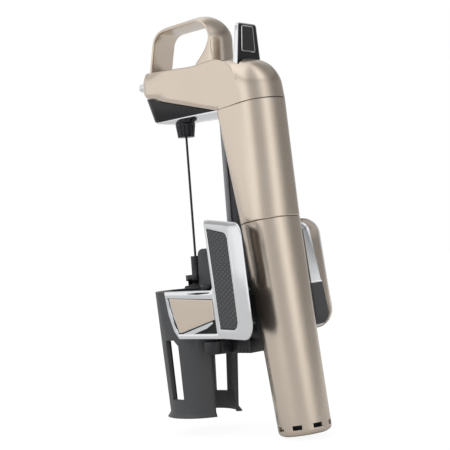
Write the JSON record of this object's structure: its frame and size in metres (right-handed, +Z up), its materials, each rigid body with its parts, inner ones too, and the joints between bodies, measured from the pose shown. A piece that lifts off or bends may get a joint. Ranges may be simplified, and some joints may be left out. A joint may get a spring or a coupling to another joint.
{
  "type": "wine preservation dispenser",
  "caption": "Hand-held wine preservation dispenser: hollow needle and spout under a trigger head, leaning handle with screwed gas capsule cup, and a sprung bottle-neck clamp on a rail.",
  "frame": {"origin": "centre of the closed bottle-neck clamp, on the needle axis", "axes": "+Z up along the needle, +X forward to the pouring spout, +Y to the object's left"},
  "size_m": [0.1047, 0.0648, 0.2094],
  "materials": {
    "champagne_paint": "satin metallic champagne lacquer",
    "black_plastic": "satin black",
    "grey_plastic": "fine moulded texture",
    "chrome": "polished plating",
    "rail_metal": "grey anodised",
    "steel": "plain",
    "brass": "machined",
    "rubber": "moulded"
  },
  "bodies": {
    "handle": {"head_housing": "champagne_paint", "carry_loop": "champagne_paint", "underside_cover": "black_plastic", "manifold_plate": "chrome", "manifold_block": "grey_plastic", "spout_tube": "chrome", "valve_body": "brass", "valve_spring": "steel", "gas_tube": "steel", "body_shell": "champagne_paint", "seam_gasket": "rubber", "rail": "rail_metal", "rail_spine": "grey_plastic", "rail_foot": "grey_plastic", "rail_pins": "steel", "body_screws": "steel", "regulator_body": "brass", "regulator_cap": "brass", "regulator_spring": "steel", "piercing_pin": "steel", "capsule_seal": "rubber", "trigger_pin": "steel"},
    "trigger": {"trigger_lever": "chrome", "trigger_pad": "rubber"},
    "plunger": {"valve_plunger": "steel"},
    "piston": {"regulator_piston": "steel"},
    "needle_unit": {"needle_hub": "black_plastic", "needle": "black_plastic"},
    "carriage": {"clamp_carriage": "grey_plastic", "carriage_shoe": "rubber", "guide_arm": "grey_plastic", "needle_guide": "black_plastic", "bottle_stop": "rubber", "hinge_pins": "steel", "clamp_springs": "steel"},
    "left_jaw": {"left_sleeve_half": "grey_plastic", "left_jaw_frame": "chrome", "left_grip_pad": "rubber", "left_inlay_plate": "champagne_paint", "left_lever_liner": "grey_plastic", "left_neck_pad": "rubber"},
    "right_jaw": {"right_sleeve_half": "grey_plastic", "right_jaw_frame": "chrome", "right_grip_pad": "rubber", "right_inlay_plate": "champagne_paint", "right_lever_liner": "grey_plastic", "right_neck_pad": "rubber"},
    "capsule": {"gas_capsule": "steel"},
    "cup": {"capsule_cup": "champagne_paint", "cup_cushion": "rubber"}
  },
  "joints": [
    {"name": "carriage_slide", "type": "slide", "parent": "handle", "child": "carriage", "axis": [0, 0, 1], "range_m": [0, 0.06]},
    {"name": "left_jaw_open", "type": "hinge", "parent": "carriage", "child": "left_jaw", "pos_m": [-0.0205, 0.014, 0], "axis": [0, 0, 1], "range_deg": [0, 10], "stiffness_Nm_per_rad": 0.4, "springref_deg": -20.05},
    {"name": "right_jaw_open", "type": "hinge", "parent": "carriage", "child": "right_jaw", "pos_m": [-0.0205, -0.014, 0], "axis": [0, 0, -1], "range_deg": [0, 10]},
    {"name": "trigger_press", "type": "hinge", "parent": "handle", "child": "trigger", "pos_m": [-0.043, 0, 0.108], "axis": [0, 1, 0], "range_deg": [0, 8], "stiffness_Nm_per_rad": 0.15, "springref_deg": -20.05},
    {"name": "valve_push", "type": "slide", "parent": "handle", "child": "plunger", "axis": [1, 0, 0], "range_m": [0, 0.0013], "deforming": ["valve_spring"]},
    {"name": "regulator_breathe", "type": "slide", "parent": "handle", "child": "piston", "axis": [0.1132, 0, 0.9936], "range_m": [0, 0.0008], "stiffness_N_per_m": 500, "springref_m": -0.002, "deforming": ["regulator_spring"]},
    {"name": "needle_turn", "type": "hinge", "parent": "handle", "child": "needle_unit", "pos_m": [0, 0, 0.0904], "axis": [0, 0, -1], "range_deg": [0, 360]},
    {"name": "capsule_drop", "type": "slide", "parent": "handle", "child": "capsule", "axis": [-0.1132, 0, -0.9936], "range_m": [0, 0.005]},
    {"name": "cup_turn", "type": "hinge", "parent": "capsule", "child": "cup", "pos_m": [-0.0511, 0, 0.0435], "axis": [-0.1132, 0, -0.9936], "range_deg": [0, 720]}
  ],
  "couplings": [
    {"joint": "right_jaw_open", "follows": "left_jaw_open", "ratio": 1},
    {"joint": "valve_push", "follows": "trigger_press", "m_per_rad": 0.009},
    {"joint": "cup_turn", "follows": "capsule_drop", "rad_per_m": 2513.3}
  ]
}
